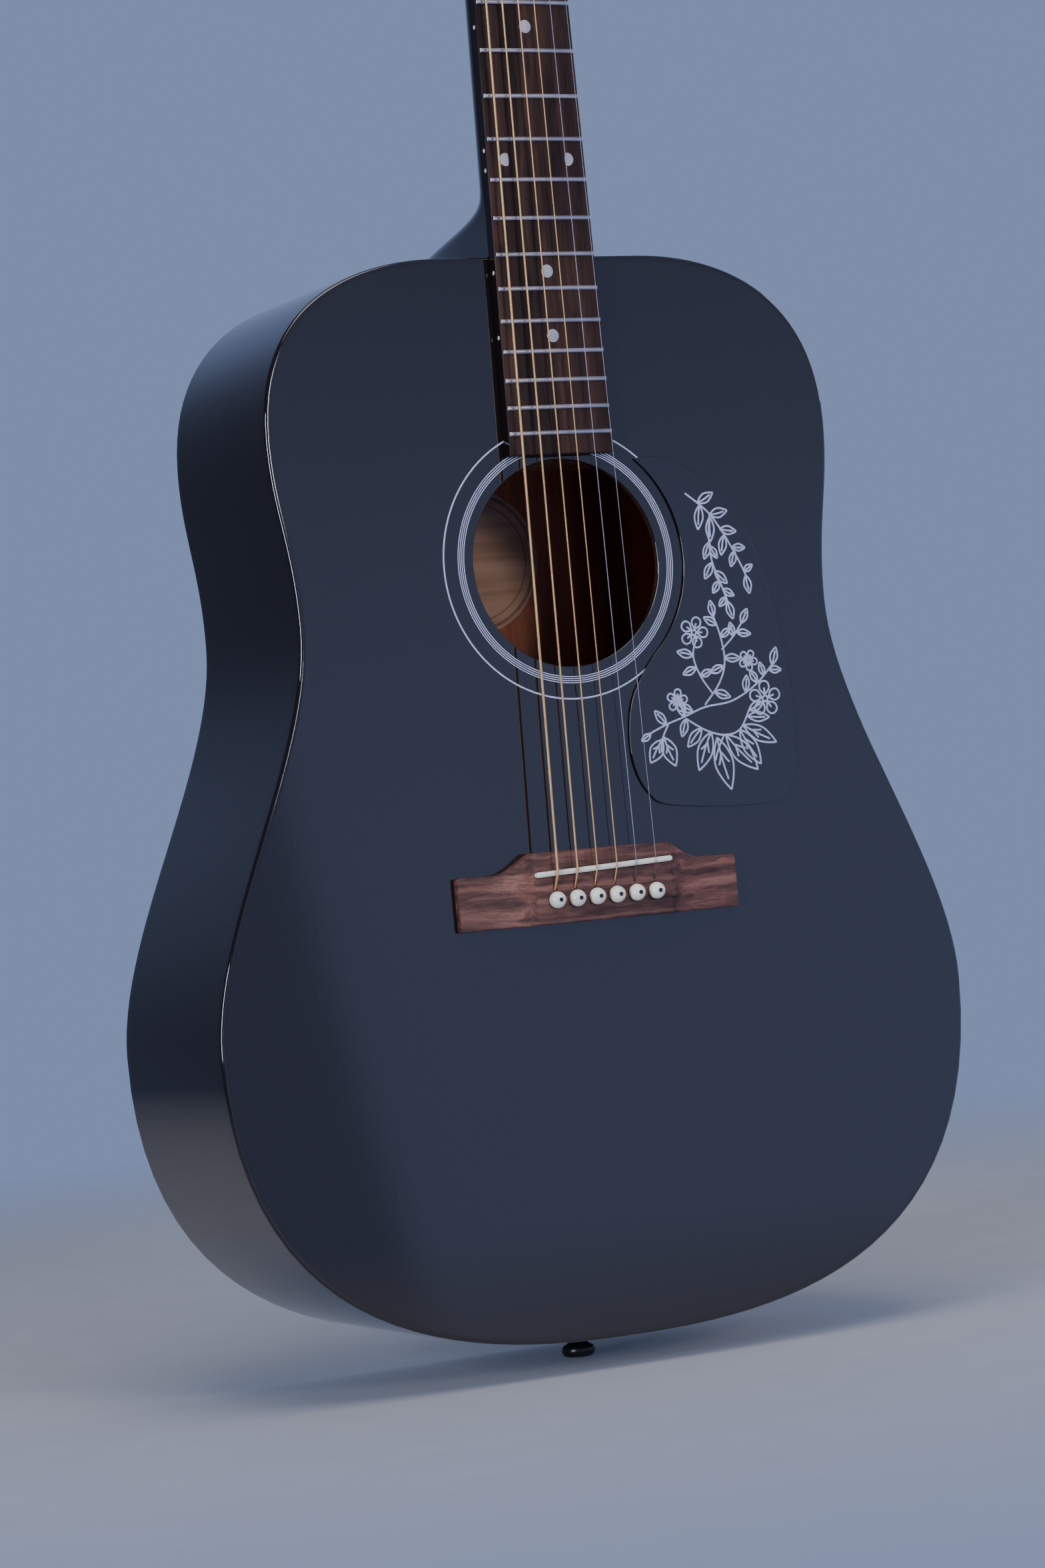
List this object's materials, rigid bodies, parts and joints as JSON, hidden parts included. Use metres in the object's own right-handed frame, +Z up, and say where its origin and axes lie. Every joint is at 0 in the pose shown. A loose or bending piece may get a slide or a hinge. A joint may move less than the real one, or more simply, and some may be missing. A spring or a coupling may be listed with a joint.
{
  "type": "acoustic guitar",
  "caption": "Steel-string acoustic guitar, black dreadnought body with round soundhole, pickguard, pinned bridge, fretted neck and geared tuners.",
  "frame": {"origin": "middle of the end button's outer face, at the tail, halfway through the body's depth", "axes": "+Z up the neck towards the headstock, -Y out of the soundboard, +X to the treble side"},
  "size_m": [0.3956, 0.1377, 1.0707],
  "materials": {
    "black_lacquer": "gloss black lacquer over wood",
    "spruce": "bare quarter-sawn spruce",
    "mahogany": "bare mahogany",
    "rosewood": "oiled dark rosewood, open pores",
    "bone": "polished ivory-coloured bone substitute",
    "black_plastic": "polished black plastic",
    "nickel": "polished nickel plating",
    "steel": "drawn steel",
    "bronze": "bronze winding"
  },
  "bodies": {
    "guitar": {"top": "black_lacquer", "back": "black_lacquer", "side_bass": "black_lacquer", "side_treble": "black_lacquer", "neck_block": "mahogany", "tail_block": "mahogany", "lining_top_bass": "mahogany", "lining_top_treble": "mahogany", "lining_back_bass": "mahogany", "lining_back_treble": "mahogany", "bridge_plate": "rosewood", "x_brace": "spruce", "transverse_brace": "spruce", "tone_bar_1": "spruce", "tone_bar_2": "spruce", "back_brace_1": "spruce", "back_brace_2": "spruce", "back_brace_3": "spruce", "back_brace_4": "spruce", "neck": "black_lacquer", "heel_cap": "black_plastic", "fingerboard": "rosewood", "nut": "bone", "truss_rod": "steel", "truss_rod_cover": "black_plastic", "bridge": "rosewood", "saddle": "bone", "bridge_pin_1": "bone", "bridge_pin_2": "bone", "bridge_pin_3": "bone", "bridge_pin_4": "bone", "bridge_pin_5": "bone", "bridge_pin_6": "bone", "pickguard": "black_plastic", "end_button": "black_plastic", "string_1": "bronze", "string_2": "bronze", "string_3": "bronze", "string_4": "bronze", "string_5": "steel", "string_6": "steel", "tuner_housing_1": "nickel", "tuner_housing_2": "nickel", "tuner_housing_3": "nickel", "tuner_housing_4": "nickel", "tuner_housing_5": "nickel", "tuner_housing_6": "nickel"},
    "key_1": {"tuner_key_1": "nickel"},
    "post_1": {"tuner_post_1": "nickel"},
    "key_2": {"tuner_key_2": "nickel"},
    "post_2": {"tuner_post_2": "nickel"},
    "key_3": {"tuner_key_3": "nickel"},
    "post_3": {"tuner_post_3": "nickel"},
    "key_4": {"tuner_key_4": "nickel"},
    "post_4": {"tuner_post_4": "nickel"},
    "key_5": {"tuner_key_5": "nickel"},
    "post_5": {"tuner_post_5": "nickel"},
    "key_6": {"tuner_key_6": "nickel"},
    "post_6": {"tuner_post_6": "nickel"}
  },
  "joints": [
    {"name": "tuner_key_1_turn", "type": "hinge", "parent": "guitar", "child": "key_1", "pos_m": [-0.02192, -0.03102, 0.93182], "axis": [-1, 0, 0], "continuous": true},
    {"name": "tuner_post_1_turn", "type": "hinge", "parent": "guitar", "child": "post_1", "pos_m": [-0.02192, -0.05192, 0.92899], "axis": [0, -0.9703, 0.2419], "continuous": true},
    {"name": "tuner_key_2_turn", "type": "hinge", "parent": "guitar", "child": "key_2", "pos_m": [-0.02379, -0.02086, 0.97257], "axis": [-1, 0, 0], "continuous": true},
    {"name": "tuner_post_2_turn", "type": "hinge", "parent": "guitar", "child": "post_2", "pos_m": [-0.02379, -0.04176, 0.96975], "axis": [0, -0.9703, 0.2419], "continuous": true},
    {"name": "tuner_key_3_turn", "type": "hinge", "parent": "guitar", "child": "key_3", "pos_m": [-0.02547, -0.0107, 1.01333], "axis": [-1, 0, 0], "continuous": true},
    {"name": "tuner_post_3_turn", "type": "hinge", "parent": "guitar", "child": "post_3", "pos_m": [-0.02547, -0.0316, 1.0105], "axis": [0, -0.9703, 0.2419], "continuous": true},
    {"name": "tuner_key_4_turn", "type": "hinge", "parent": "guitar", "child": "key_4", "pos_m": [0.02547, -0.0107, 1.01333], "axis": [1, 0, 0], "continuous": true},
    {"name": "tuner_post_4_turn", "type": "hinge", "parent": "guitar", "child": "post_4", "pos_m": [0.02547, -0.0316, 1.0105], "axis": [0, -0.9703, 0.2419], "continuous": true},
    {"name": "tuner_key_5_turn", "type": "hinge", "parent": "guitar", "child": "key_5", "pos_m": [0.02379, -0.02086, 0.97257], "axis": [1, 0, 0], "continuous": true},
    {"name": "tuner_post_5_turn", "type": "hinge", "parent": "guitar", "child": "post_5", "pos_m": [0.02379, -0.04176, 0.96975], "axis": [0, -0.9703, 0.2419], "continuous": true},
    {"name": "tuner_key_6_turn", "type": "hinge", "parent": "guitar", "child": "key_6", "pos_m": [0.02192, -0.03102, 0.93182], "axis": [1, 0, 0], "continuous": true},
    {"name": "tuner_post_6_turn", "type": "hinge", "parent": "guitar", "child": "post_6", "pos_m": [0.02192, -0.05192, 0.92899], "axis": [0, -0.9703, 0.2419], "continuous": true}
  ],
  "couplings": [
    {"joint": "tuner_post_1_turn", "follows": "tuner_key_1_turn", "ratio": -0.071429},
    {"joint": "tuner_post_2_turn", "follows": "tuner_key_2_turn", "ratio": -0.071429},
    {"joint": "tuner_post_3_turn", "follows": "tuner_key_3_turn", "ratio": -0.071429},
    {"joint": "tuner_post_4_turn", "follows": "tuner_key_4_turn", "ratio": 0.071429},
    {"joint": "tuner_post_5_turn", "follows": "tuner_key_5_turn", "ratio": 0.071429},
    {"joint": "tuner_post_6_turn", "follows": "tuner_key_6_turn", "ratio": 0.071429}
  ]
}
